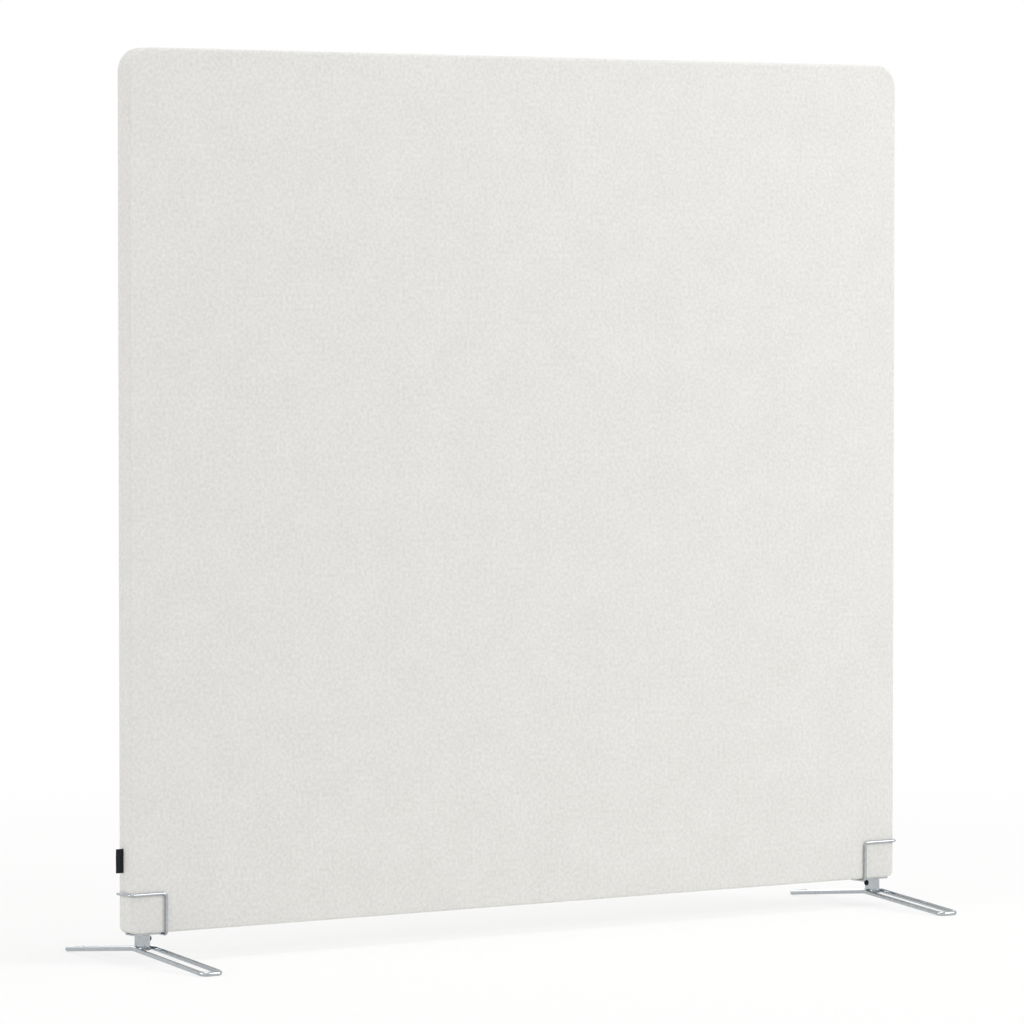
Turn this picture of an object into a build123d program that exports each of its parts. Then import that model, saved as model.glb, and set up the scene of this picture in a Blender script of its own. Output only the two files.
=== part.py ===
from build123d import *
from math import pi
import os

# Acoustic divider screen: a fabric-covered absorbing panel on two chromed swivel feet.
# X runs along the screen, Y from its front to its back, and Z up.
# The origin is on the floor, under the middle of the panel. Lengths are in millimetres.

# Panel
panel_width = 1600.0
panel_height = 1450.0
panel_depth = 38.0
floor_gap = 50.0
top_corner_radius = 40.0
bottom_corner_radius = 12.0
panel_edge_radius = 4.0

# Cover, wadding and label tab
cover_thickness = 1.5
wadding_thickness = 3.0
seam_offset = 5.0
tab_height = 40.0
tab_reach = 14.0
tab_thickness = 1.2
tab_fold_share = 0.45
tab_rise = 100.0
tape_width = 14.0
tape_thickness = 1.0
tape_end_gap = 100.0

# Wooden frame
rail_width = 60.0
stile_width = 60.0
mid_stile_width = 45.0
dowel_diameter = 8.0
dowel_length = 50.0
dowel_spacing = 26.0

# Wire brackets round the lower corners
wire_diameter = 5.0
wire_gap = 0.3
wire_bend_radius = 6.0
bracket_reach = 67.0
bracket_rise = 65.0

# Saddle plates and their screws
plate_end_margin = 9.0
plate_width = 30.0
plate_thickness = 2.5
plate_corner_radius = 6.0
plate_screw_offset = 17.2
plate_screw_diameter = 4.0
plate_screw_head_diameter = 8.0
plate_screw_length = 16.0
plate_screw_socket = 2.5
plate_screw_socket_depth = 1.8
screw_hole_clearance = 0.3
insert_diameter = 6.0
insert_length = 12.0

# Stems and posts
post_inset = 33.5
post_diameter = 26.0
post_wall = 3.0
post_floor = 3.0
post_height = 25.5
post_chamfer = 0.6
stem_clearance = 0.06
stem_end_gap = 0.5
groove_depth = 1.5
groove_width = 6.2

# Clamp screws
clamp_drop = 9.7
clamp_diameter = 5.0
clamp_clearance = 0.05
clamp_head_diameter = 9.5
clamp_head_height = 2.8
clamp_head_gap = 0.2
clamp_tip_gap = 0.2
clamp_rim = 1.0
clamp_crown_radius = 2.9
clamp_socket = 3.0
clamp_socket_depth = 1.6

# Foot loops
rod_diameter = 8.0
foot_length = 440.0
strand_spacing = 36.0
foot_apex_height = 25.2
foot_apex_radius = 60.0
foot_corner_radius = 10.0
foot_flat = 0.3
weld_collar_height = 7.0
weld_seat = 0.3

# Heights and half sizes that follow from these
panel_top = floor_gap + panel_height
frame_bottom = floor_gap + cover_thickness
frame_top = panel_top - cover_thickness
frame_half = panel_width / 2 - cover_thickness
frame_depth = panel_depth - 2 * (cover_thickness + wadding_thickness)
bay_bottom = frame_bottom + rail_width
bay_top = frame_top - rail_width
plate_under = floor_gap - plate_thickness
post_bottom = plate_under - post_height
post_x = panel_width / 2 - post_inset
bracket_inner = panel_width / 2 - bracket_reach
plate_inner = bracket_inner + wire_diameter / 2
plate_outer = post_x + plate_screw_offset + plate_end_margin
clamp_height = floor_gap - clamp_drop
stem_radius = post_diameter / 2 - post_wall - stem_clearance
collar_radius = (strand_spacing - rod_diameter) / 2 + weld_seat

sides = {"left": -1, "right": 1}

os.makedirs("parts", exist_ok=True)


def save(builder, name):
    """Label a finished piece and write it to its own file."""
    builder.part.label = name
    export_step(builder.part, f"parts/{name}.step")


def panel_block(inset):
    """The panel's rounded block, drawn in by inset on every side."""
    with BuildPart() as block:
        with BuildSketch(Plane.XZ) as outline:
            with Locations((0, floor_gap + panel_height / 2)):
                Rectangle(panel_width - 2 * inset, panel_height - 2 * inset)
            fillet(outline.vertices().group_by(Axis.Y)[-1], top_corner_radius - inset)
            fillet(outline.vertices().group_by(Axis.Y)[0], bottom_corner_radius - inset)
        extrude(amount=panel_depth / 2 - inset, both=True)
        fillet(block.faces().filter_by(Axis.Y).edges(), panel_edge_radius - inset)
    return block.part


def plate_screw_places(side):
    """Where the two screws of one saddle plate stand, on the plate's underside."""
    return [
        (side * post_x + offset, 0, plate_under)
        for offset in (-plate_screw_offset, plate_screw_offset)
    ]


def plate_screw_blank():
    """A countersunk screw without its socket, its head's face at the origin and its tip up."""
    head_drop = (plate_screw_head_diameter - plate_screw_diameter) / 2
    with BuildPart() as blank:
        with BuildSketch(Plane.XZ):
            with BuildLine():
                Polyline(
                    (0, 0),
                    (plate_screw_head_diameter / 2, 0),
                    (plate_screw_diameter / 2, head_drop),
                    (plate_screw_diameter / 2, plate_screw_length),
                    (0, plate_screw_length),
                    close=True,
                )
            make_face()
        revolve(axis=Axis.Z)
    return blank.part


def rod_loop(points, radii, diameter):
    """A closed loop of round rod through the points, bent at each to its radius."""
    with BuildPart() as loop:
        with BuildLine() as route:
            FilletPolyline(*points, radius=radii, close=True)
        path = route.wire()
        with BuildSketch(Plane(origin=path @ 0, z_dir=path % 0)):
            Circle(diameter / 2)
        sweep(path=path)
    print("rod volume", loop.part.volume, "section times length", pi * diameter**2 / 4 * path.length)
    return loop.part


panel_outer = panel_block(0)
panel_inner = panel_block(cover_thickness)

# Dowels in the joints between the stiles and the rails
outer_dowel_x = frame_half - stile_width / 2
dowel_places = [
    (x + offset, 0, z)
    for x in (-outer_dowel_x, 0, outer_dowel_x)
    for offset in (-dowel_spacing / 2, dowel_spacing / 2)
    for z in (bay_bottom, bay_top)
]
with BuildPart() as frame_dowels:
    with Locations(*dowel_places):
        Cylinder(dowel_diameter / 2, dowel_length)
save(frame_dowels, "frame_dowels")

# Touch tape in a rebate under the bottom rail, where the cover closes
with BuildPart() as touch_tape:
    with Locations((0, seam_offset, frame_bottom)):
        Box(
            panel_width - 2 * tape_end_gap,
            tape_width,
            tape_thickness,
            align=(Align.CENTER, Align.CENTER, Align.MIN),
        )
save(touch_tape, "touch_tape")

# Rails of the frame
with BuildPart() as frame_top_rail:
    add(panel_inner)
    with Locations((0, 0, frame_top)):
        Box(
            panel_width,
            frame_depth,
            rail_width,
            align=(Align.CENTER, Align.CENTER, Align.MAX),
            mode=Mode.INTERSECT,
        )
    add(frame_dowels.part, mode=Mode.SUBTRACT)
save(frame_top_rail, "frame_top_rail")

with BuildPart() as frame_bottom_rail:
    add(panel_inner)
    with Locations((0, 0, frame_bottom)):
        Box(
            panel_width,
            frame_depth,
            rail_width,
            align=(Align.CENTER, Align.CENTER, Align.MIN),
            mode=Mode.INTERSECT,
        )
    add(frame_dowels.part, mode=Mode.SUBTRACT)
    add(touch_tape.part, mode=Mode.SUBTRACT)
    for side in sides.values():
        with Locations(*[(x, y, frame_bottom) for x, y, _ in plate_screw_places(side)]):
            Cylinder(
                insert_diameter / 2,
                insert_length,
                align=(Align.CENTER, Align.CENTER, Align.MIN),
                mode=Mode.SUBTRACT,
            )
save(frame_bottom_rail, "frame_bottom_rail")

# Stiles of the frame, between the rails
for name, side in sides.items():
    with BuildPart() as stile:
        add(panel_inner)
        with Locations((side * outer_dowel_x, 0, bay_bottom)):
            Box(
                stile_width,
                frame_depth,
                bay_top - bay_bottom,
                align=(Align.CENTER, Align.CENTER, Align.MIN),
                mode=Mode.INTERSECT,
            )
        add(frame_dowels.part, mode=Mode.SUBTRACT)
    save(stile, f"frame_{name}_stile")

with BuildPart() as frame_mid_stile:
    with Locations((0, 0, bay_bottom)):
        Box(
            mid_stile_width,
            frame_depth,
            bay_top - bay_bottom,
            align=(Align.CENTER, Align.CENTER, Align.MIN),
        )
    add(frame_dowels.part, mode=Mode.SUBTRACT)
save(frame_mid_stile, "frame_mid_stile")

# Acoustic slabs, one in each bay
bay_width = frame_half - stile_width - mid_stile_width / 2
for name, side in sides.items():
    with BuildPart() as acoustic_slab:
        with Locations((side * (mid_stile_width + bay_width) / 2, 0, bay_bottom)):
            Box(
                bay_width,
                frame_depth,
                bay_top - bay_bottom,
                align=(Align.CENTER, Align.CENTER, Align.MIN),
            )
    save(acoustic_slab, f"acoustic_slab_{name}")

# Wadding sheets over both faces of the frame
with BuildPart() as wadding_front:
    add(panel_inner)
    split(bisect_by=Plane.XZ.offset(frame_depth / 2), keep=Keep.TOP)
save(wadding_front, "wadding_front")

with BuildPart() as wadding_rear:
    add(panel_inner)
    split(bisect_by=Plane.XZ.offset(-frame_depth / 2), keep=Keep.BOTTOM)
save(wadding_rear, "wadding_rear")

# Cloth tab, folded over and sewn into the left side seam
with BuildPart() as side_label_tab:
    with BuildSketch(Plane.XY.offset(floor_gap + tab_rise)) as tab_section:
        with Locations((-panel_width / 2 + cover_thickness, seam_offset)):
            Rectangle(
                tab_reach + cover_thickness, tab_thickness, align=(Align.MAX, Align.CENTER)
            )
        fillet(tab_section.vertices().group_by(Axis.X)[0], tab_thickness * tab_fold_share)
    extrude(amount=tab_height)
save(side_label_tab, "side_label_tab")

# Fabric cover: two shells that meet at the seam
cover_halves = {"front": Keep.TOP, "rear": Keep.BOTTOM}
for name, kept in cover_halves.items():
    with BuildPart() as cover:
        add(panel_outer)
        add(panel_inner, mode=Mode.SUBTRACT)
        split(bisect_by=Plane.XZ.offset(-seam_offset), keep=kept)
        add(side_label_tab.part, mode=Mode.SUBTRACT)
        for side in sides.values():
            with Locations(*[(x, y, floor_gap) for x, y, _ in plate_screw_places(side)]):
                Cylinder(
                    plate_screw_diameter / 2 + screw_hole_clearance,
                    cover_thickness,
                    align=(Align.CENTER, Align.CENTER, Align.MIN),
                    mode=Mode.SUBTRACT,
                )
    save(cover, f"cover_{name}")

# Feet and brackets, the same at both ends
wire_out = wire_gap + wire_diameter / 2
wire_y = panel_depth / 2 + wire_out
wire_low = floor_gap - wire_out
wire_high = floor_gap + bracket_rise
rod_low = rod_diameter / 2 - foot_flat
strand_end = (foot_length - rod_diameter) / 2

for name, side in sides.items():
    foot_x = side * post_x

    # Wire bracket, a closed loop round the panel's lower corner
    near, far = side * bracket_inner, side * (panel_width / 2 + wire_out)
    wire_points = [
        (near, -wire_y, wire_low),
        (near, -wire_y, wire_high),
        (far, -wire_y, wire_high),
        (far, wire_y, wire_high),
        (near, wire_y, wire_high),
        (near, wire_y, wire_low),
    ]
    with BuildPart() as wire_bracket:
        add(rod_loop(wire_points, [wire_bend_radius] * len(wire_points), wire_diameter))
    save(wire_bracket, f"wire_bracket_{name}")

    # Threaded inserts in the bottom rail
    with BuildPart() as thread_inserts:
        with Locations(*[(x, y, frame_bottom) for x, y, _ in plate_screw_places(side)]):
            Cylinder(
                insert_diameter / 2,
                insert_length,
                align=(Align.CENTER, Align.CENTER, Align.MIN),
            )
        with Locations(*plate_screw_places(side)):
            add(plate_screw_blank(), mode=Mode.SUBTRACT)
    save(thread_inserts, f"thread_inserts_{name}")

    # Countersunk screws that hold the saddle plate
    with BuildPart() as saddle_screws:
        with Locations(*plate_screw_places(side)):
            add(plate_screw_blank())
        with BuildSketch(Plane.XY.offset(plate_under)):
            with Locations(*[(x, y) for x, y, _ in plate_screw_places(side)]):
                RegularPolygon(plate_screw_socket / 2, 6, major_radius=False)
        extrude(amount=plate_screw_socket_depth, mode=Mode.SUBTRACT)
    save(saddle_screws, f"saddle_screws_{name}")

    # Saddle plate, welded to the wire where it crosses under the panel
    with BuildPart() as saddle_plate:
        with BuildSketch(Plane.XY.offset(plate_under)):
            with Locations((side * (plate_inner + plate_outer) / 2, 0)):
                RectangleRounded(plate_outer - plate_inner, plate_width, plate_corner_radius)
        extrude(amount=plate_thickness)
        with Locations(*plate_screw_places(side)):
            add(plate_screw_blank(), mode=Mode.SUBTRACT)
    save(saddle_plate, f"saddle_plate_{name}")

    # Stem under the plate, with the groove that the clamp screw grips
    stem_length = post_height - post_floor - stem_end_gap
    with BuildPart() as stem:
        with Locations((foot_x, 0, plate_under)):
            Cylinder(
                stem_radius, stem_length, align=(Align.CENTER, Align.CENTER, Align.MAX)
            )
        with BuildSketch(Plane.XY.offset(clamp_height - groove_width / 2)):
            with Locations((foot_x, 0)):
                Circle(post_diameter / 2)
                Circle(stem_radius - groove_depth, mode=Mode.SUBTRACT)
        extrude(amount=groove_width, mode=Mode.SUBTRACT)
    save(stem, f"stem_{name}")

    # Foot loop: two strands tangent to the post, bent up at their middle
    reach = strand_spacing / 2
    foot_points = [
        (foot_x + reach, 0, foot_apex_height),
        (foot_x + reach, strand_end, rod_low),
        (foot_x - reach, strand_end, rod_low),
        (foot_x - reach, 0, foot_apex_height),
        (foot_x - reach, -strand_end, rod_low),
        (foot_x + reach, -strand_end, rod_low),
    ]
    foot_radii = [foot_apex_radius, foot_corner_radius, foot_corner_radius] * 2
    rod = rod_loop(foot_points, foot_radii, rod_diameter)
    with BuildPart() as foot_loop:
        add(rod)
        split(bisect_by=Plane.XY, keep=Keep.TOP)
    save(foot_loop, f"foot_loop_{name}")

    # Post: a short tube, closed below, with a collar that the strands are welded to
    with BuildPart() as foot_post:
        with Locations((foot_x, 0, post_bottom)):
            Cylinder(
                post_diameter / 2, post_height, align=(Align.CENTER, Align.CENTER, Align.MIN)
            )
            Cylinder(
                collar_radius,
                weld_collar_height,
                align=(Align.CENTER, Align.CENTER, Align.MIN),
            )
        ends = foot_post.edges().filter_by(GeomType.CIRCLE).group_by(Axis.Z)
        chamfer(ends[0] + ends[-1], post_chamfer)
        with Locations((foot_x, 0, plate_under)):
            Cylinder(
                post_diameter / 2 - post_wall,
                post_height - post_floor,
                align=(Align.CENTER, Align.CENTER, Align.MAX),
                mode=Mode.SUBTRACT,
            )
        with BuildSketch(Plane.YZ.offset(foot_x)):
            with Locations((0, clamp_height)):
                Circle(clamp_diameter / 2 + clamp_clearance)
        extrude(amount=-side * post_diameter, mode=Mode.SUBTRACT)
        add(rod, mode=Mode.SUBTRACT)
    save(foot_post, f"foot_post_{name}")

    # Clamp screw: a button head outside the post, its tip in the groove of the stem
    tip = stem_radius - groove_depth + clamp_tip_gap
    seat = post_diameter / 2 + clamp_head_gap
    crown = seat + clamp_head_height
    with BuildPart() as clamp_screw:
        with BuildSketch(Plane.XZ) as clamp_profile:
            with BuildLine():
                Polyline(
                    (crown, 0),
                    (tip, 0),
                    (tip, clamp_diameter / 2),
                    (seat, clamp_diameter / 2),
                    (seat, clamp_head_diameter / 2),
                    (seat + clamp_rim, clamp_head_diameter / 2),
                    (crown, clamp_crown_radius),
                    close=True,
                )
            make_face()
        revolve(axis=Axis.X)
        with BuildSketch(Plane.YZ.offset(crown)):
            RegularPolygon(clamp_socket / 2, 6, major_radius=False)
        extrude(amount=-clamp_socket_depth, mode=Mode.SUBTRACT)
    clamp_place = Location((foot_x, 0, clamp_height), (0, 0, 0 if side < 0 else 180))
    with BuildPart() as placed_clamp:
        with Locations(clamp_place):
            add(clamp_screw.part)
    save(placed_clamp, f"clamp_screw_{name}")
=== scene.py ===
from math import atan2, cos, pi, radians, sin

import bmesh
import bpy
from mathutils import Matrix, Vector, noise
from mathutils.bvhtree import BVHTree


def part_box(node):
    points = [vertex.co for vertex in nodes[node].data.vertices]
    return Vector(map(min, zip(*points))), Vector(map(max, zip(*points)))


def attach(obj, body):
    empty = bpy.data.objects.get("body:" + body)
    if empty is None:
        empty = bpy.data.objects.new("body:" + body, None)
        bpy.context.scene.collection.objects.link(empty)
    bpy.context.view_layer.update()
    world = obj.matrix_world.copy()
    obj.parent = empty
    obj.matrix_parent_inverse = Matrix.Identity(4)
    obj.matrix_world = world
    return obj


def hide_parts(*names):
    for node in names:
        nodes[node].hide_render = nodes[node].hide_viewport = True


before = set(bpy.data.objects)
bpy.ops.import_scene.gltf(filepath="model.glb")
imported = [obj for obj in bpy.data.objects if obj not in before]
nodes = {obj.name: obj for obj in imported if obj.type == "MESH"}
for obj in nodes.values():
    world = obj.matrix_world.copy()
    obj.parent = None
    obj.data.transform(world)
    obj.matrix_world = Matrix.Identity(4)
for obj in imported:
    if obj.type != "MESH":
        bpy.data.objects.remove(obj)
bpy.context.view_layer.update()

# Acoustic divider screen. X runs along the screen, Y from its front to its back, Z up, in metres.
bpy.ops.object.select_all(action="DESELECT")
bpy.context.scene.view_settings.view_transform = "Standard"

# Camera, at the height and distance that the panel's four edges and both feet give
bpy.ops.object.camera_add(
    location=(-5.82029, -8.20818, 1.14966),
    rotation=(radians(90 - 2.429), radians(-0.0164), radians(-35.2284)),
)
camera = bpy.context.object
camera.name = "camera"
camera.data.sensor_width = 36
camera.data.lens = 206.845
camera.data.clip_end = 60
bpy.context.scene.camera = camera

# Sizes that the pieces share
millimetre = 0.001
touching = 0.01 * millimetre  # two places closer than this are the same place
front_lo, front_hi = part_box("cover_front")
rear_lo, rear_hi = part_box("cover_rear")
panel_lo = Vector(map(min, front_lo, rear_lo))
panel_hi = Vector(map(max, front_hi, rear_hi))
panel_mid = (panel_lo + panel_hi) / 2
seam_y = front_hi[1]
bracket_lo, bracket_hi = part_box("wire_bracket_right")
wire_radius = 2.5 * millimetre
top_corner_radius = 40 * millimetre
bottom_corner_radius = 12 * millimetre


# Colours and shader nodes

def linear(code):
    """A hex sRGB colour as the linear RGBA that a socket takes."""
    channels = []
    for i in (1, 3, 5):
        level = int(code[i : i + 2], 16) / 255
        channels.append(level / 12.92 if level <= 0.04045 else ((level + 0.055) / 1.055) ** 2.4)
    return channels + [1.0]


def add_node(tree, kind, settings=(), inputs=(), links=()):
    """A node of that kind, with its settings, socket values and incoming links."""
    node = tree.nodes.new(kind)
    for name, value in dict(settings).items():
        setattr(node, name, value)
    for socket, value in dict(inputs).items():
        node.inputs[socket].default_value = value
    for socket, source in dict(links).items():
        tree.links.new(source, node.inputs[socket])
    return node


def new_finish(name):
    """An empty material with its node tree and a Principled shader on the output."""
    finish = bpy.data.materials.new(name)
    finish.use_nodes = True
    tree = finish.node_tree
    tree.nodes.clear()
    shader = add_node(tree, "ShaderNodeBsdfPrincipled")
    add_node(tree, "ShaderNodeOutputMaterial", links={"Surface": shader.outputs["BSDF"]})
    return finish, tree, shader


def set_colours(ramp, stops):
    """Colour stops of a ramp, each a position and a hex colour or a grey level."""
    elements = ramp.color_ramp.elements
    while len(elements) > 1:
        elements.remove(elements[-1])
    for i, (position, tone) in enumerate(stops):
        element = elements[0] if i == 0 else elements.new(position)
        element.position = position
        element.color = linear(tone) if isinstance(tone, str) else (tone, tone, tone, 1)


def woven_screen_fabric():
    """Wool blend, plain woven from two-tone slub yarn: matt, softly mottled, with a short nap."""
    finish, tree, shader = new_finish("wool_blend_plain_weave")
    thread = 1.1  # mm between threads, as heavy panel cloth has
    place = add_node(tree, "ShaderNodeUVMap", {"uv_map": "cloth"})
    scaled = add_node(
        tree,
        "ShaderNodeVectorMath",
        {"operation": "SCALE"},
        {"Scale": 1000.0},
        {0: place.outputs["UV"]},
    )
    axes = add_node(tree, "ShaderNodeSeparateXYZ", links={0: scaled.outputs[0]})
    waves = []
    for axis in "XY":
        turn = add_node(
            tree,
            "ShaderNodeMath",
            {"operation": "MULTIPLY"},
            {1: pi / thread},
            {0: axes.outputs[axis]},
        )
        waves.append(add_node(tree, "ShaderNodeMath", {"operation": "SINE"}, links={0: turn.outputs[0]}))
    crossing = add_node(
        tree,
        "ShaderNodeMath",
        {"operation": "MULTIPLY"},
        links={0: waves[0].outputs[0], 1: waves[1].outputs[0]},
    )
    # Warp on top where the two waves agree, weft on top where they don't
    over = add_node(
        tree,
        "ShaderNodeMapRange",
        inputs={"From Min": -0.25, "From Max": 0.25},
        links={"Value": crossing.outputs[0]},
    )
    # Yarn that changes tone along its length, each thread on its own: patches 1.6 x 7 mm
    patch, patch_length = 1.6, 7.0
    warp = (1 / patch, 1 / patch_length, 1.0)
    weft = (1 / patch_length, 1 / patch, 1.0)
    yarns = []
    for stretch, seed in ((warp, 3.0), (weft, 11.0)):
        along = add_node(
            tree,
            "ShaderNodeMapping",
            inputs={"Scale": stretch, "Location": (seed, seed, 0)},
            links={"Vector": scaled.outputs[0]},
        )
        tone = add_node(
            tree,
            "ShaderNodeTexNoise",
            {"noise_dimensions": "2D"},
            {"Scale": 1.0, "Detail": 2.0, "Roughness": 0.6},
            {"Vector": along.outputs[0]},
        )
        yarns.append(tone)
    yarn_tone = add_node(
        tree,
        "ShaderNodeMix",
        {"data_type": "FLOAT"},
        links={"Factor": over.outputs[0], "A": yarns[0].outputs[0], "B": yarns[1].outputs[0]},
    )
    # Slubs and flecks, 6 mm across, which give the cloth its soft grain from afar
    fleck = add_node(
        tree,
        "ShaderNodeTexNoise",
        {"noise_dimensions": "2D"},
        {"Scale": 1 / 6, "Detail": 1.5, "Roughness": 0.5},
        {"Vector": scaled.outputs[0]},
    )
    # Slow unevenness of the dyeing, from a thumb to a hand's breadth across
    cloud = add_node(
        tree,
        "ShaderNodeTexNoise",
        {"noise_dimensions": "2D"},
        {"Scale": 1 / 80, "Detail": 2.5, "Roughness": 0.7},
        {"Vector": scaled.outputs[0]},
    )
    blend = add_node(
        tree,
        "ShaderNodeMix",
        {"data_type": "FLOAT"},
        {"Factor": 0.6},
        {"A": yarn_tone.outputs[0], "B": fleck.outputs[0]},
    )
    blend = add_node(
        tree,
        "ShaderNodeMix",
        {"data_type": "FLOAT"},
        {"Factor": 0.16},
        {"A": blend.outputs[0], "B": cloud.outputs[0]},
    )
    colours = add_node(tree, "ShaderNodeValToRGB", links={"Fac": blend.outputs[0]})
    set_colours(colours, [(0.28, "#d5d4d1"), (0.50, "#dfdedb"), (0.72, "#e8e7e5")])
    rise = add_node(tree, "ShaderNodeMath", {"operation": "ABSOLUTE"}, links={0: crossing.outputs[0]})
    rise = add_node(
        tree,
        "ShaderNodeMath",
        {"operation": "MULTIPLY_ADD"},
        {1: 0.6},
        {0: rise.outputs[0], 2: fleck.outputs[0]},
    )
    bump = add_node(
        tree,
        "ShaderNodeBump",
        inputs={"Strength": 0.35, "Distance": 0.25 * millimetre},
        links={"Height": rise.outputs[0]},
    )
    tree.links.new(colours.outputs[0], shader.inputs["Base Color"])
    tree.links.new(bump.outputs[0], shader.inputs["Normal"])
    shader.inputs["Roughness"].default_value = 0.9
    shader.inputs["Specular IOR Level"].default_value = 0.25
    shader.inputs["Sheen Weight"].default_value = 0.15
    shader.inputs["Sheen Roughness"].default_value = 0.5
    return finish


def chrome():
    """Steel, polished and bright chrome plated: a cool, slightly dark mirror with faint hairlines."""
    finish, tree, shader = new_finish("steel_chrome_plated")
    place = add_node(tree, "ShaderNodeTexCoord")
    # Polishing haze, 8 mm across, and hairlines left by the mop, 0.4 mm apart
    haze = add_node(
        tree,
        "ShaderNodeTexNoise",
        inputs={"Scale": 1000 / 8, "Detail": 3.0, "Roughness": 0.6},
        links={"Vector": place.outputs["Object"]},
    )
    hairs = add_node(
        tree,
        "ShaderNodeMapping",
        inputs={"Scale": (1000 / 0.4, 1000 / 0.4, 180)},
        links={"Vector": place.outputs["Object"]},
    )
    hairs = add_node(
        tree,
        "ShaderNodeTexNoise",
        inputs={"Scale": 1.0, "Detail": 2.0},
        links={"Vector": hairs.outputs[0]},
    )
    gloss = add_node(
        tree,
        "ShaderNodeMapRange",
        inputs={"From Min": 0.3, "From Max": 0.7, "To Min": 0.05, "To Max": 0.10},
        links={"Value": haze.outputs[0]},
    )
    tint = add_node(tree, "ShaderNodeValToRGB", links={"Fac": haze.outputs[0]})
    set_colours(tint, [(0.35, "#aaafb3"), (0.65, "#b6babd")])
    bump = add_node(
        tree,
        "ShaderNodeBump",
        inputs={"Strength": 0.04, "Distance": 0.02 * millimetre},
        links={"Height": hairs.outputs[0]},
    )
    tree.links.new(tint.outputs[0], shader.inputs["Base Color"])
    tree.links.new(gloss.outputs[0], shader.inputs["Roughness"])
    tree.links.new(bump.outputs[0], shader.inputs["Normal"])
    shader.inputs["Metallic"].default_value = 1.0
    return finish


def planed_timber(name, along, early, late, grain, ring, dullness):
    """Planed or turned wood: silky, with growth lines that run along one axis.

    along is the grain's axis, grain the fibre length and ring the spacing of its lines, in mm."""
    finish, tree, shader = new_finish(name)
    place = add_node(tree, "ShaderNodeTexCoord")
    stretch = [1000 / ring] * 3
    stretch["XYZ".index(along)] = 1000 / grain
    fibres = add_node(
        tree,
        "ShaderNodeMapping",
        inputs={"Scale": stretch},
        links={"Vector": place.outputs["Object"]},
    )
    rings = add_node(
        tree,
        "ShaderNodeTexNoise",
        inputs={"Scale": 1.0, "Detail": 4.0, "Roughness": 0.55, "Distortion": 0.4},
        links={"Vector": fibres.outputs[0]},
    )
    pores = add_node(
        tree,
        "ShaderNodeTexNoise",
        inputs={"Scale": 7.0, "Detail": 2.0},
        links={"Vector": fibres.outputs[0]},
    )
    mixed = add_node(
        tree,
        "ShaderNodeMix",
        {"data_type": "FLOAT"},
        {"Factor": 0.3},
        {"A": rings.outputs[0], "B": pores.outputs[0]},
    )
    colours = add_node(tree, "ShaderNodeValToRGB", links={"Fac": mixed.outputs[0]})
    set_colours(colours, [(0.36, late), (0.5, early), (0.64, late)])
    bump = add_node(
        tree,
        "ShaderNodeBump",
        inputs={"Strength": 0.3, "Distance": 0.1 * millimetre},
        links={"Height": pores.outputs[0]},
    )
    tree.links.new(colours.outputs[0], shader.inputs["Base Color"])
    tree.links.new(bump.outputs[0], shader.inputs["Normal"])
    shader.inputs["Roughness"].default_value = dullness
    shader.inputs["IOR"].default_value = 1.53
    return finish


def fibre_mat(name, dark, pale, clump, hair, depth):
    """Loose or pressed polyester fibre: dull, soft and cloudy, with a hairy surface.

    clump is the size of its tufts and hair the width of a fibre bundle, in mm, drawn coarser
    than the real fibre so that it shows."""
    finish, tree, shader = new_finish(name)
    place = add_node(tree, "ShaderNodeTexCoord")
    tufts = add_node(
        tree,
        "ShaderNodeTexNoise",
        inputs={"Scale": 1000 / clump, "Detail": 5.0, "Roughness": 0.65},
        links={"Vector": place.outputs["Object"]},
    )
    hairs = add_node(
        tree,
        "ShaderNodeTexNoise",
        inputs={"Scale": 1000 / hair, "Detail": 2.0, "Distortion": 1.5},
        links={"Vector": place.outputs["Object"]},
    )
    mixed = add_node(
        tree,
        "ShaderNodeMix",
        {"data_type": "FLOAT"},
        {"Factor": 0.5},
        {"A": tufts.outputs[0], "B": hairs.outputs[0]},
    )
    colours = add_node(tree, "ShaderNodeValToRGB", links={"Fac": mixed.outputs[0]})
    set_colours(colours, [(0.32, dark), (0.66, pale)])
    bump = add_node(
        tree,
        "ShaderNodeBump",
        inputs={"Strength": 0.6, "Distance": depth * millimetre},
        links={"Height": mixed.outputs[0]},
    )
    tree.links.new(colours.outputs[0], shader.inputs["Base Color"])
    tree.links.new(bump.outputs[0], shader.inputs["Normal"])
    shader.inputs["Roughness"].default_value = 0.95
    shader.inputs["Specular IOR Level"].default_value = 0.2
    shader.inputs["Sheen Weight"].default_value = 0.3
    return finish


def loop_tape():
    """Black nylon loop tape, knitted and brushed: matt, with curled loops, painted lighter on their
    crowns and darker between them as painted highlight and shade.
    """
    finish, tree, shader = new_finish("nylon_loop_tape_knitted")
    place = add_node(tree, "ShaderNodeTexCoord")
    # Loops 0.8 mm across
    loops = add_node(
        tree,
        "ShaderNodeTexVoronoi",
        {"feature": "SMOOTH_F1"},
        {"Scale": 1000 / 0.8, "Smoothness": 0.6},
        {"Vector": place.outputs["Object"]},
    )
    # Painted highlight and shade: each loop's crown lighter, the gaps between loops darker
    colours = add_node(tree, "ShaderNodeValToRGB", links={"Fac": loops.outputs["Distance"]})
    set_colours(colours, [(0.1, "#2a2a2c"), (0.7, "#131315")])
    bump = add_node(
        tree,
        "ShaderNodeBump",
        {"invert": True},
        {"Strength": 0.7, "Distance": 0.3 * millimetre},
        {"Height": loops.outputs["Distance"]},
    )
    tree.links.new(colours.outputs[0], shader.inputs["Base Color"])
    tree.links.new(bump.outputs[0], shader.inputs["Normal"])
    shader.inputs["Roughness"].default_value = 0.8
    shader.inputs["Sheen Weight"].default_value = 0.2
    return finish


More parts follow.
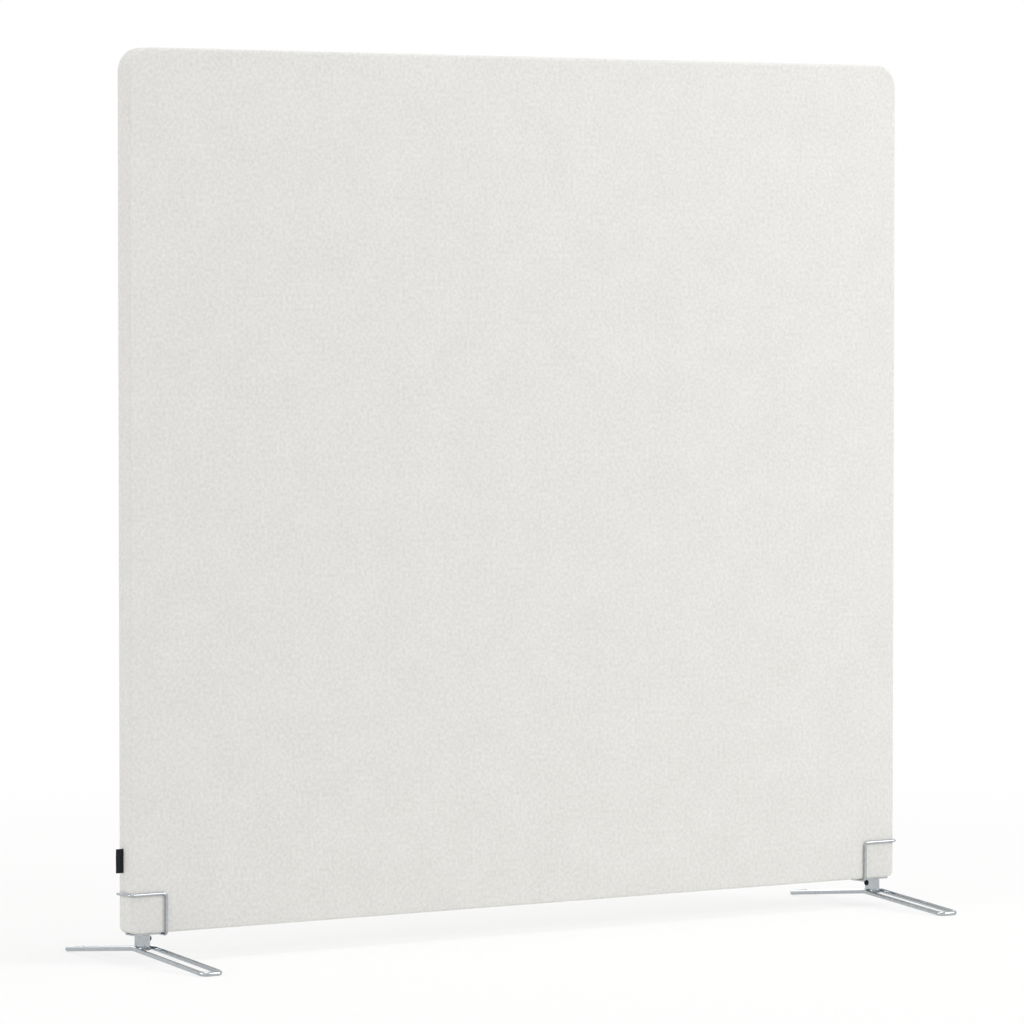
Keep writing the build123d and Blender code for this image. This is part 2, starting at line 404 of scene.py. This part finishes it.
def ribbed_ribbon():
    """Dark navy polyester ribbon, rib woven: a soft satin with fine ribs across its length."""
    finish, tree, shader = new_finish("polyester_ribbon_rib_weave")
    place = add_node(tree, "ShaderNodeUVMap", {"uv_map": "cloth"})
    axes = add_node(tree, "ShaderNodeSeparateXYZ", links={0: place.outputs["UV"]})
    # Ribs 0.7 mm apart
    turn = add_node(
        tree,
        "ShaderNodeMath",
        {"operation": "MULTIPLY"},
        {1: 2000 * pi / 0.7},
        {0: axes.outputs["X"]},
    )
    rib = add_node(tree, "ShaderNodeMath", {"operation": "SINE"}, links={0: turn.outputs[0]})
    # Filament streaks along the ribbon, 0.3 mm wide
    along = add_node(
        tree,
        "ShaderNodeMapping",
        inputs={"Scale": (1000 / 6, 1000 / 0.3, 1)},
        links={"Vector": place.outputs["UV"]},
    )
    streak = add_node(
        tree,
        "ShaderNodeTexNoise",
        {"noise_dimensions": "2D"},
        {"Scale": 1.0, "Detail": 2.0},
        {"Vector": along.outputs[0]},
    )
    height = add_node(
        tree,
        "ShaderNodeMath",
        {"operation": "MULTIPLY_ADD"},
        {1: 0.25},
        {0: rib.outputs[0], 2: streak.outputs[0]},
    )
    # Colour follows the height: painted shade in the rib troughs and painted highlight on the crests,
    # with the filament streaks as the ribbon's own tone
    colours = add_node(tree, "ShaderNodeValToRGB", links={"Fac": height.outputs[0]})
    set_colours(colours, [(0.3, "#0b0d12"), (0.75, "#181c26")])
    bump = add_node(
        tree,
        "ShaderNodeBump",
        inputs={"Strength": 0.5, "Distance": 0.15 * millimetre},
        links={"Height": height.outputs[0]},
    )
    tree.links.new(colours.outputs[0], shader.inputs["Base Color"])
    tree.links.new(bump.outputs[0], shader.inputs["Normal"])
    shader.inputs["Roughness"].default_value = 0.6
    shader.inputs["Specular IOR Level"].default_value = 0.3
    return finish


def small_metal(name, dark, pale, low, high, metallic=1.0):
    """A small turned or formed metal part: fine tool lines round it and a slightly uneven gloss.

    low and high are the least and the most roughness that the surface has."""
    finish, tree, shader = new_finish(name)
    place = add_node(tree, "ShaderNodeTexCoord")
    # Tool lines 0.35 mm apart and blotches 2.5 mm across
    lines = add_node(
        tree,
        "ShaderNodeMapping",
        inputs={"Scale": (60, 60, 1000 / 0.35)},
        links={"Vector": place.outputs["Object"]},
    )
    lines = add_node(
        tree,
        "ShaderNodeTexNoise",
        inputs={"Scale": 1.0, "Detail": 2.0},
        links={"Vector": lines.outputs[0]},
    )
    blotch = add_node(
        tree,
        "ShaderNodeTexNoise",
        inputs={"Scale": 1000 / 2.5, "Detail": 4.0, "Roughness": 0.6},
        links={"Vector": place.outputs["Object"]},
    )
    colours = add_node(tree, "ShaderNodeValToRGB", links={"Fac": blotch.outputs[0]})
    set_colours(colours, [(0.3, dark), (0.7, pale)])
    gloss = add_node(
        tree,
        "ShaderNodeMapRange",
        inputs={"From Min": 0.3, "From Max": 0.7, "To Min": low, "To Max": high},
        links={"Value": blotch.outputs[0]},
    )
    bump = add_node(
        tree,
        "ShaderNodeBump",
        inputs={"Strength": 0.15, "Distance": 0.02 * millimetre},
        links={"Height": lines.outputs[0]},
    )
    tree.links.new(colours.outputs[0], shader.inputs["Base Color"])
    tree.links.new(gloss.outputs[0], shader.inputs["Roughness"])
    tree.links.new(bump.outputs[0], shader.inputs["Normal"])
    shader.inputs["Metallic"].default_value = metallic
    return finish


cover_fabric = woven_screen_fabric()
chrome_plate = chrome()
ribbon = ribbed_ribbon()
# Black oxide is a thin, oiled, nearly black film on steel, so it hardly mirrors
black_oxide = small_metal("steel_black_oxide", "#0e0e10", "#1c1c1f", 0.3, 0.45, metallic=0.6)

# Pine planed square: pale straw with amber growth lines, silky
pine_lying = planed_timber("pine_planed_lying", "X", "#e3c796", "#c79d62", 260, 4.5, 0.55)
pine_upright = planed_timber("pine_planed_upright", "Z", "#e3c796", "#c79d62", 260, 4.5, 0.55)
# Beech turned and fluted: pinkish tan, close grained
beech = planed_timber("beech_turned", "X", "#d3a77c", "#b98659", 60, 1.6, 0.5)
finishes = {
    "frame_top_rail": pine_lying,
    "frame_bottom_rail": pine_lying,
    "frame_left_stile": pine_upright,
    "frame_right_stile": pine_upright,
    "frame_mid_stile": pine_upright,
    "frame_dowels": beech,
    # Recycled fibre pressed to a board: flecked warm grey
    "acoustic_slab": fibre_mat("polyester_felt_pressed", "#8f8f8d", "#c9c8c4", 9, 1.4, 0.4),
    # Bonded wadding: white, airy and cloudy
    "wadding": fibre_mat("polyester_wadding_bonded", "#dcdcd8", "#f2f2ef", 14, 2.2, 1.2),
    "cover": cover_fabric,
    "touch_tape": loop_tape(),
    "side_label_tab": ribbon,
    "wire_bracket": chrome_plate,
    "saddle_plate": chrome_plate,
    "foot_post": chrome_plate,
    "foot_loop": chrome_plate,
    # Zinc plated screws: bluish, bright but not a mirror
    "saddle_screws": small_metal("steel_zinc_plated", "#9ea3a8", "#c4c8cb", 0.22, 0.36),
    # Brass turned from bar: warm yellow with tool lines
    "thread_inserts": small_metal("brass_turned", "#b08d4c", "#d0b071", 0.2, 0.34),
    # Free-cutting steel turned and oiled: plain grey with tool lines
    "stem": small_metal("steel_turned", "#7f8184", "#a3a5a8", 0.2, 0.34),
    "clamp_screw": black_oxide,
}
for name, node in nodes.items():
    look = next(finish for start, finish in finishes.items() if name.startswith(start))
    node.data.materials.clear()
    node.data.materials.append(look)


# Modelling helpers

def pick(kind, test):
    """In edit mode, selects only the vertices, edges or faces that pass the test."""
    bpy.ops.mesh.select_mode(type=kind)
    bpy.ops.mesh.select_all(action="DESELECT")
    work = bmesh.from_edit_mesh(bpy.context.object.data)
    for part in {"VERT": work.verts, "EDGE": work.edges, "FACE": work.faces}[kind]:
        if test(part):
            part.select_set(True)
    work.select_flush_mode()
    bmesh.update_edit_mesh(bpy.context.object.data)


def finish_piece(piece, name, body, finish, smooth_angle=35):
    """Names a piece, shades it, and ties it to its body, material slot and material."""
    bpy.ops.object.select_all(action="DESELECT")
    piece.select_set(True)
    bpy.context.view_layer.objects.active = piece
    bpy.ops.object.transform_apply(location=True, rotation=True, scale=True)
    bpy.ops.object.shade_smooth_by_angle(angle=radians(smooth_angle))
    piece.name = piece.data.name = name
    piece.data.materials.clear()
    piece.data.materials.append(finish)
    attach(piece, body)
    piece.select_set(False)


# The upholstered panel: fabric pulled over the wadding, front and back halves sewn at a side seam

def outline_normal(x, z):
    """Which way the panel's outline faces, nearest to a point, seen from the front."""
    radius = top_corner_radius if z > panel_mid.z else bottom_corner_radius
    across = abs(x - panel_mid.x) - (panel_hi.x - panel_mid.x - radius)
    up = abs(z - panel_mid.z) - (panel_hi.z - panel_mid.z - radius)
    if across > 0 and up > 0:
        way = Vector((across, up)).normalized()
    else:
        way = Vector((1, 0)) if across > up else Vector((0, 1))
    return Vector((way.x if x > panel_mid.x else -way.x, way.y if z > panel_mid.z else -way.y))


def wire_room(x, z):
    """How far the fabric may swell at a point before a bracket's wire holds it in."""
    holds_within = 50 * millimetre
    room_under_wire = 0.12 * millimetre
    room_per_gap = 0.11
    reach_in, rise = bracket_lo[0] + wire_radius, bracket_hi[2] - wire_radius
    side = abs(x)
    if side > reach_in - holds_within and z < rise + holds_within:
        beside_upright = abs(side - reach_in) + max(0.0, z - rise)
        beside_run = abs(z - rise) + max(0.0, reach_in - side)
        gap = min(beside_upright, beside_run) - wire_radius
        return room_under_wire + room_per_gap * max(0.0, gap)
    # Away from the wire nothing holds it
    return 1.0


bpy.ops.mesh.primitive_cube_add(size=1, location=panel_mid, scale=panel_hi - panel_lo)
pad = bpy.context.object
bpy.ops.object.transform_apply(location=True, rotation=True, scale=True)
bpy.ops.object.mode_set(mode="EDIT")
for top, radius, steps in ((True, top_corner_radius, 8), (False, bottom_corner_radius, 5)):
    pick(
        "EDGE",
        lambda e: abs(e.verts[0].co.y - e.verts[1].co.y) > touching
        and (e.verts[0].co.z > panel_mid.z) == top
        and abs(e.verts[0].co.x) > panel_hi.x - touching,
    )
    bpy.ops.mesh.bevel(offset=radius, segments=steps, affect="EDGES")
pick(
    "EDGE",
    lambda e: abs(e.verts[0].co.y - e.verts[1].co.y) < touching
    and abs(abs(e.verts[0].co.y) - panel_hi.y) < touching,
)
edge_softness = 4.2 * millimetre
bpy.ops.mesh.bevel(offset=edge_softness, segments=4, affect="EDGES")
# Rows and columns, 20 mm apart, for the fabric to bend along
columns, rows = 80, 72
for i in range(1, columns):
    bpy.ops.mesh.select_all(action="SELECT")
    bpy.ops.mesh.bisect(
        plane_co=(panel_lo.x + (panel_hi.x - panel_lo.x) * i / columns, 0, 0), plane_no=(1, 0, 0)
    )
for i in range(1, rows):
    bpy.ops.mesh.select_all(action="SELECT")
    bpy.ops.mesh.bisect(
        plane_co=(0, 0, panel_lo.z + (panel_hi.z - panel_lo.z) * i / rows), plane_no=(0, 0, 1)
    )
# Lines across its depth, closest beside the seam
beside_seam = 1.6 * millimetre
depth_lines = [-8 * millimetre, -1 * millimetre, 10 * millimetre]
depth_lines += [seam_y - beside_seam, seam_y, seam_y + beside_seam]
for y in sorted(depth_lines):
    bpy.ops.mesh.select_all(action="SELECT")
    bpy.ops.mesh.bisect(plane_co=(0, y, 0), plane_no=(0, 1, 0))
bpy.ops.object.mode_set(mode="OBJECT")

# The flat pattern of each half, in metres, for the weave to follow
pattern = pad.data.uv_layers.new(name="cloth")
for face in pad.data.polygons:
    in_front = face.center.y < seam_y
    for corner in face.loop_indices:
        x, y, z = pad.data.vertices[pad.data.loops[corner].vertex_index].co
        depth = y - panel_lo.y if in_front else panel_hi.y - y
        at = Vector((x if in_front else -x, z))
        if depth > touching:
            way = outline_normal(x, z)
            at += Vector((way.x if in_front else -way.x, way.y)) * depth
        pattern.data[corner].uv = at

# The wadding's push: a coarse pillow of the panel's outline, held round its edge, swells as cloth.
# It has an even grid of its own, so it isn't remeshed, and the fabric takes its swell from it.
bpy.ops.mesh.primitive_grid_add(
    x_subdivisions=columns // 2,
    y_subdivisions=rows // 2,
    size=1,
    location=(panel_mid.x, panel_lo.y, panel_mid.z),
    rotation=(radians(90), 0, 0),
)
pillow = bpy.context.object
pillow.scale = (panel_hi.x - panel_lo.x, panel_hi.z - panel_lo.z, 1)
bpy.ops.object.transform_apply(location=True, rotation=True, scale=True)
edge_places = [
    v.index
    for v in pillow.data.vertices
    if abs(v.co.x - panel_mid.x) > panel_hi.x - panel_mid.x - touching
    or abs(v.co.z - panel_mid.z) > panel_hi.z - panel_mid.z - touching
]
pillow.vertex_groups.new(name="held").add(edge_places, 1.0, "REPLACE")
cloth = pillow.modifiers.new("wadding_push", "CLOTH")
cloth.settings.vertex_group_mass = "held"
cloth.settings.quality = 4
cloth.settings.use_pressure = True
cloth.settings.uniform_pressure_force = 0.3
for stiffness in ("tension_stiffness", "compression_stiffness", "shear_stiffness"):
    setattr(cloth.settings, stiffness, 80)
cloth.settings.effector_weights.gravity = 0.0
cloth.collision_settings.use_collision = False
last_step = 20
for step in range(1, last_step + 1):
    bpy.context.scene.frame_set(step)
bpy.ops.object.modifier_apply(modifier=cloth.name)
bpy.context.scene.frame_set(1)
swollen = BVHTree.FromObject(pillow, bpy.context.evaluated_depsgraph_get())
most_swell = 1.4 * millimetre
# The wadding isn't even: patches of about 20 cm swell more or less than the rest
patch_size = 200 * millimetre
for vertex in pad.data.vertices:
    flat = vertex.co.copy()
    if abs(abs(flat.y) - panel_hi.y) > touching:
        continue
    hit = swollen.ray_cast(Vector((flat.x, -1, flat.z)), Vector((0, 1, 0)))[0]
    push = abs(hit.y - panel_lo.y) if hit else 0.0
    unevenness = 0.85 + 0.3 * noise.noise(flat / patch_size)
    push = min(push, most_swell * unevenness, wire_room(flat.x, flat.z))
    vertex.co.y += push if flat.y > 0 else -push
bpy.data.objects.remove(pillow)

# How far the seam's edge turns in and crosses the seam plane, first at the fold, then at the hem
seam_steps = ((0.8 * millimetre, 0.0), (0.5 * millimetre, 0.2 * millimetre))
fabric_thickness = 1.1 * millimetre
for name, clears in (("cover_front", "clear_outer"), ("cover_rear", "clear_inner")):
    bpy.ops.object.select_all(action="DESELECT")
    pad.select_set(True)
    bpy.context.view_layer.objects.active = pad
    bpy.ops.object.duplicate()
    half = bpy.context.object
    inward = -1 if name == "cover_front" else 1
    bpy.ops.object.mode_set(mode="EDIT")
    bpy.ops.mesh.select_all(action="SELECT")
    bpy.ops.mesh.bisect(plane_co=(0, seam_y, 0), plane_no=(0, 1, 0), **{clears: True})
    # The seam: the edge turns in, and its allowance lies against the other half's below it
    pick("EDGE", lambda e: e.is_boundary)
    for step, (turn_in, across) in enumerate(seam_steps):
        if step > 0:
            bpy.ops.mesh.extrude_edges_move()
        bpy.ops.transform.resize(
            value=(
                1 - turn_in / (panel_hi.x - panel_mid.x),
                1,
                1 - turn_in / (panel_hi.z - panel_mid.z),
            ),
            center_override=(panel_mid.x, seam_y, panel_mid.z),
        )
        bpy.ops.transform.translate(value=(0, -inward * across, 0))
    bpy.ops.object.mode_set(mode="OBJECT")
    smooth = half.modifiers.new("soften", "SUBSURF")
    smooth.levels = smooth.render_levels = 1
    bpy.ops.object.modifier_apply(modifier=smooth.name)
    wall = half.modifiers.new("fabric_thickness", "SOLIDIFY")
    wall.thickness = fabric_thickness
    wall.offset = -1
    bpy.ops.object.modifier_apply(modifier=wall.name)
    finish_piece(half, name + "_fabric", "screen", cover_fabric, 60)
    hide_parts(name)
    depth = abs((panel_lo.y if inward < 0 else panel_hi.y) - seam_y)
bpy.data.objects.remove(pad)


# The cloth tab: a ribbon folded once and sewn into the left side seam

tab_lo, tab_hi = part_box("side_label_tab")
ribbon_thickness = 0.5 * millimetre
fold_radius = 0.45 * millimetre
fold_x = tab_lo.x + fold_radius + ribbon_thickness / 2
tab_reach = tab_hi.x - fold_x
ribbon_width = tab_hi.z - tab_lo.z
tab_middle = (tab_lo.z + tab_hi.z) / 2
tab_columns, tab_rows = 6, 10
bpy.ops.object.select_all(action="DESELECT")
bpy.ops.mesh.primitive_plane_add(
    size=1,
    location=(fold_x + tab_reach / 2, seam_y - fold_radius, tab_middle),
    rotation=(radians(90), 0, 0),
)
tab = bpy.context.object
tab.scale = (tab_reach, ribbon_width, 1)
bpy.ops.object.transform_apply(location=True, rotation=True, scale=True)
bpy.ops.object.mode_set(mode="EDIT")
for i in range(1, tab_columns):
    bpy.ops.mesh.select_all(action="SELECT")
    bpy.ops.mesh.bisect(
        plane_co=(fold_x + tab_reach * i / tab_columns, 0, 0), plane_no=(1, 0, 0)
    )
pick("EDGE", lambda e: all(v.co.x < fold_x + touching for v in e.verts))
bpy.ops.mesh.spin(steps=8, angle=pi, center=(fold_x, seam_y, tab_middle), axis=(0, 0, -1))
for _ in range(tab_columns):
    bpy.ops.mesh.extrude_edges_move(
        TRANSFORM_OT_translate={"value": (tab_reach / tab_columns, 0, 0)}
    )
for i in range(1, tab_rows):
    bpy.ops.mesh.select_all(action="SELECT")
    bpy.ops.mesh.bisect(
        plane_co=(0, 0, tab_lo.z + ribbon_width * i / tab_rows), plane_no=(0, 0, 1)
    )
bpy.ops.object.mode_set(mode="OBJECT")
pattern = tab.data.uv_layers.new(name="cloth")
for face in tab.data.polygons:
    for corner in face.loop_indices:
        x, y, z = tab.data.vertices[tab.data.loops[corner].vertex_index].co
        side = -1 if face.center.y < seam_y else 1
        around = atan2(abs(y - seam_y), max(0.0, fold_x - x)) if x < fold_x else pi / 2
        pattern.data[corner].uv = (side * (fold_radius * around + max(0.0, x - fold_x)), z)
# The ribbon's two layers wave a little, and its free corners draw back from the fold
most_wave = 0.9 * millimetre
most_draw = 0.5 * millimetre
waves_per_metre = 60
for vertex in tab.data.vertices:
    out = (tab_hi.x - vertex.co.x) / (tab_hi.x - tab_lo.x)
    wave = noise.noise(Vector((out, 0, vertex.co.z * waves_per_metre)))
    vertex.co.y += most_wave * out * wave
    vertex.co.z += most_draw * out * (tab_middle - vertex.co.z) / ribbon_width
wall = tab.modifiers.new("ribbon_thickness", "SOLIDIFY")
wall.thickness = ribbon_thickness
wall.offset = 0
bpy.ops.object.modifier_apply(modifier=wall.name)
finish_piece(tab, "cloth_tab_ribbon", "screen", ribbon, 50)
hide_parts("side_label_tab")


# The clamp screws: button heads with a hexagon socket, turned and oxidised black

shank_radius = 2.5 * millimetre
tip_radius = 1.9 * millimetre
tip_length = 0.6 * millimetre
head_height = 2.8 * millimetre
rim_height = 0.7 * millimetre
rim_chamfer = 0.2 * millimetre
socket_width = 3.0 * millimetre
socket_corner_radius = 1.75 * millimetre
socket_depth = 1.5 * millimetre
drill_point_depth = 0.4 * millimetre
# Way from the screw's tip to its crown: both heads face the middle of the screen
for side_name, way in (("left", 1), ("right", -1)):
    lo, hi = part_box(f"clamp_screw_{side_name}")
    middle = (lo + hi) / 2
    head_radius = (hi.z - lo.z) / 2
    tip_x, crown_x = (lo.x, hi.x) if way > 0 else (hi.x, lo.x)
    seat_x = crown_x - way * head_height
    dome_start = seat_x + way * rim_height
    dome_rise = abs(crown_x - dome_start)
    # Rings from the tip to the crown: place along the screw and radius
    turns = [
        (tip_x, tip_radius),
        (tip_x + way * tip_length, shank_radius),
        (seat_x, shank_radius),
        (seat_x, head_radius - rim_chamfer),
        (seat_x + way * rim_chamfer, head_radius),
        (dome_start, head_radius),
    ]
    turns += [
        (dome_start + way * dome_rise * sin(turn), head_radius * cos(turn) ** 0.5)
        for turn in [radians(a) for a in (14, 28, 42, 55, 66, 75)]
    ]
    bpy.ops.object.select_all(action="DESELECT")
    bpy.ops.mesh.primitive_circle_add(
        vertices=48,
        radius=turns[0][1],
        fill_type="NGON",
        location=(tip_x, middle.y, middle.z),
        rotation=(0, radians(90), 0),
    )
    screw = bpy.context.object
    bpy.ops.object.transform_apply(location=True, rotation=True, scale=True)
    bpy.ops.object.mode_set(mode="EDIT")
    bpy.ops.mesh.select_all(action="SELECT")
    at, radius = turns[0]
    for next_at, next_radius in turns[1:]:
        bpy.ops.mesh.extrude_region_move(TRANSFORM_OT_translate={"value": (next_at - at, 0, 0)})
        grow = next_radius / radius
        bpy.ops.transform.resize(value=(1, grow, grow), center_override=(next_at, middle.y, middle.z))
        at, radius = next_at, next_radius
    # The socket: the crown's middle is drawn to a hexagon, pushed in and drilled to a point
    bpy.ops.mesh.inset(thickness=radius - socket_corner_radius)
    work = bmesh.from_edit_mesh(screw.data)
    for vertex in (v for v in work.verts if v.select):
        turn = atan2(vertex.co.z - middle.z, vertex.co.y - middle.y)
        flat_turn = (turn + pi / 6) % (pi / 3) - pi / 6
        reach = socket_width / 2 / cos(flat_turn)
        vertex.co.y, vertex.co.z = middle.y + reach * cos(turn), middle.z + reach * sin(turn)
    bmesh.update_edit_mesh(screw.data)
    bpy.ops.mesh.extrude_region_move(
        TRANSFORM_OT_translate={"value": (-way * socket_depth, 0, 0)}
    )
    bpy.ops.mesh.extrude_region_move(
        TRANSFORM_OT_translate={"value": (-way * drill_point_depth, 0, 0)}
    )
    bpy.ops.transform.resize(value=(1, 0.1, 0.1), center_override=(at, middle.y, middle.z))
    bpy.ops.mesh.select_all(action="SELECT")
    bpy.ops.mesh.normals_make_consistent(inside=False)
    bpy.ops.object.mode_set(mode="OBJECT")
    finish_piece(
        screw, f"clamp_button_screw_{side_name}", f"clamp_{side_name}", black_oxide
    )
    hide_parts(f"clamp_screw_{side_name}")


# Floor and light

def seen_share(tree):
    """1 for the rays of the camera, of mirrors and of clear pieces, and 0 for the rays of light."""
    light = add_node(tree, "ShaderNodeLightPath")
    seen = light.outputs["Is Camera Ray"]
    for ray in ("Is Glossy Ray", "Is Transmission Ray"):
        seen = add_node(
            tree,
            "ShaderNodeMath",
            {"operation": "MAXIMUM"},
            links={0: seen, 1: light.outputs[ray]},
        ).outputs[0]
    return seen


def studio_floor_paint():
    """Matt white floor paint: seen nearly white, with less white mixed in along the screen's foot, a
    painted shade that deepens its shadow there.
    """
    finish, tree, shader = new_finish("floor_matt_white_paint")
    shader.inputs["Base Color"].default_value = linear("#f4f4f2")
    shader.inputs["Roughness"].default_value = 0.9
    shader.inputs["Specular IOR Level"].default_value = 0.1
    place = add_node(tree, "ShaderNodeTexCoord")
    reach = add_node(
        tree,
        "ShaderNodeVectorMath",
        {"operation": "LENGTH"},
        links={0: place.outputs["Object"]},
    )
    # Wholly white beyond 3.5 m, so that the floor meets the air without a line
    shine = add_node(
        tree,
        "ShaderNodeMapRange",
        {"interpolation_type": "SMOOTHSTEP"},
        {"From Min": 1.2, "From Max": 3.5, "To Min": 0.80, "To Max": 1.0},
        {"Value": reach.outputs["Value"]},
    )
    # How far a place is from the line that the panel stands over. Painted shade: near that line less
    # white is mixed in, so the floor's shadow shows deeper there
    aside = place.outputs["Object"]
    for operation, limit in (
        ("ABSOLUTE", (0, 0, 0)),
        ("SUBTRACT", (panel_hi.x, 0, 0)),
        ("MAXIMUM", (0, 0, 0)),
    ):
        aside = add_node(
            tree, "ShaderNodeVectorMath", {"operation": operation}, {1: limit}, {0: aside}
        ).outputs[0]
    aside = add_node(tree, "ShaderNodeVectorMath", {"operation": "LENGTH"}, links={0: aside})
    # Painted shade: the white share drops to 0.90 beside the panel's foot line and returns to 1 by 0.55
    # m
    painted_shade_share = add_node(
        tree,
        "ShaderNodeMapRange",
        {"interpolation_type": "SMOOTHSTEP"},
        {"From Min": 0.05, "From Max": 0.55, "To Min": 0.90, "To Max": 1.0},
        {"Value": aside.outputs["Value"]},
    )
    share = seen_share(tree)
    for part in (shine, painted_shade_share):
        share = add_node(
            tree, "ShaderNodeMath", {"operation": "MULTIPLY"}, links={0: share, 1: part.outputs[0]}
        ).outputs[0]
    white = add_node(tree, "ShaderNodeEmission", inputs={"Color": (1, 1, 1, 1), "Strength": 1.0})
    both = add_node(
        tree,
        "ShaderNodeMixShader",
        links={0: share, 1: shader.outputs["BSDF"], 2: white.outputs[0]},
    )
    out = next(node for node in tree.nodes if node.type == "OUTPUT_MATERIAL")
    tree.links.new(both.outputs[0], out.inputs["Surface"])
    return finish


bpy.ops.object.select_all(action="DESELECT")
bpy.ops.mesh.primitive_circle_add(vertices=96, radius=30, fill_type="NGON", location=(0, 0, 0))
floor = bpy.context.object
floor.name = "studio_floor"
floor.data.materials.append(studio_floor_paint())

# The air: it lights the screen at 0.57, and is seen and mirrored as white
world = bpy.data.worlds.new("studio_air")
bpy.context.scene.world = world
world.use_nodes = True
tree = world.node_tree
tree.nodes.clear()
strength = add_node(
    tree,
    "ShaderNodeMapRange",
    inputs={"To Min": 0.57, "To Max": 1.0},
    links={"Value": seen_share(tree)},
)
air = add_node(
    tree,
    "ShaderNodeBackground",
    inputs={"Color": (1, 1, 1, 1)},
    links={"Strength": strength.outputs[0]},
)
add_node(tree, "ShaderNodeOutputWorld", links={"Surface": air.outputs[0]})


def softbox(name, place, target, size, power):
    """A soft light at a place, turned to a target."""
    bpy.ops.object.light_add(type="AREA", location=place)
    lamp = bpy.context.object
    lamp.name = name
    lamp.data.shape = "RECTANGLE"
    lamp.data.size, lamp.data.size_y = size
    lamp.data.energy = power
    lamp.rotation_euler = (Vector(target) - Vector(place)).to_track_quat("-Z", "Y").to_euler()


softbox("key_softbox", place=(3.7, -4.3, 3.2), target=(0.3, 0, 0.8), size=(2.5, 2.5), power=142)
softbox("fill_softbox", place=(-6.0, -0.4, 2.2), target=(0, 0, 0.7), size=(3.0, 2.0), power=84)
softbox("top_softbox", place=(0, -0.6, 5.0), target=(0, 0, 0), size=(3.5, 2.0), power=60)
softbox("back_softbox", place=(1.5, 5.0, 2.8), target=(0, 0, 0.8), size=(3.0, 2.0), power=35)
